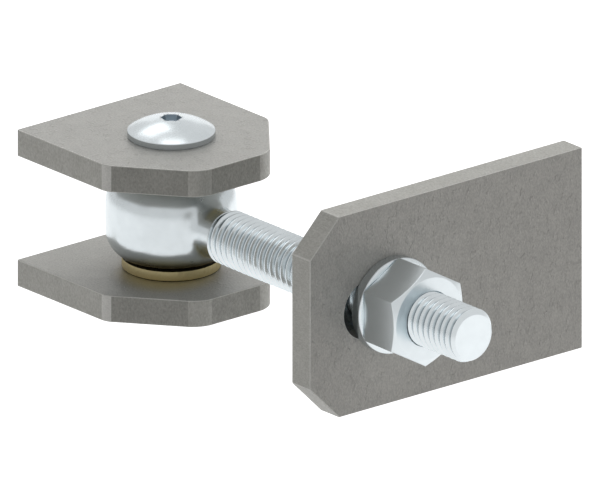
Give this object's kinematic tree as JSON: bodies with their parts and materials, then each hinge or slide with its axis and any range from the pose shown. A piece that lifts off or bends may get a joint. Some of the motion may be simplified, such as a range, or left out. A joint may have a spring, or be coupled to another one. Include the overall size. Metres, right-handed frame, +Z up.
{
  "type": "gate hinge",
  "caption": "Weld-on gate hinge: an eye bolt swings on a pin between post plates, and nuts and washers clamp a slotted gate plate on its threaded shank.",
  "frame": {"origin": "on the swing axis, half way between the two post plates, level with the shank's axis", "axes": "+X along the threaded shank to its tip, +Y along the gate plate to its weld end, +Z up the swing axis to the screw's head"},
  "size_m": [0.123, 0.0755, 0.045],
  "materials": {
    "mild_steel": "hot rolled, uncoated, fine mottled grain",
    "zinc_plated_steel": "bright zinc plated, smooth",
    "bronze": "sintered bronze, turned, satin"
  },
  "bodies": {
    "post": {"upper_post_plate": "mild_steel", "lower_post_plate": "mild_steel", "pivot_screw": "zinc_plated_steel", "pivot_barrel": "zinc_plated_steel"},
    "eye": {"eye_bolt": "zinc_plated_steel", "upper_bush": "bronze", "lower_bush": "bronze"},
    "washers": {"front_washer": "zinc_plated_steel", "rear_washer": "zinc_plated_steel"},
    "gate_side": {"gate_plate": "mild_steel"},
    "outer_nut": {"front_nut": "zinc_plated_steel"},
    "inner_nut": {"rear_nut": "zinc_plated_steel"}
  },
  "joints": [
    {"name": "gate_swing", "type": "hinge", "parent": "post", "child": "eye", "pos_m": [0, 0, 0], "axis": [0, 0, 1], "range_deg": [-90, 90]},
    {"name": "plate_reach", "type": "slide", "parent": "eye", "child": "washers", "axis": [1, 0, 0], "range_m": [-0.028, 0.01225]},
    {"name": "plate_offset", "type": "slide", "parent": "washers", "child": "gate_side", "axis": [0, 1, 0], "range_m": [-0.006, 0.006]},
    {"name": "front_nut_turn", "type": "hinge", "parent": "washers", "child": "outer_nut", "pos_m": [0.07965, 0, 0], "axis": [1, 0, 0], "range_deg": [-5760, 2520]},
    {"name": "rear_nut_turn", "type": "hinge", "parent": "washers", "child": "inner_nut", "pos_m": [0.05795, 0, 0], "axis": [1, 0, 0], "range_deg": [-5760, 2520]}
  ],
  "couplings": [
    {"joint": "plate_reach", "follows": "front_nut_turn", "m_per_rad": 0.00027852},
    {"joint": "rear_nut_turn", "follows": "front_nut_turn", "ratio": 1}
  ]
}
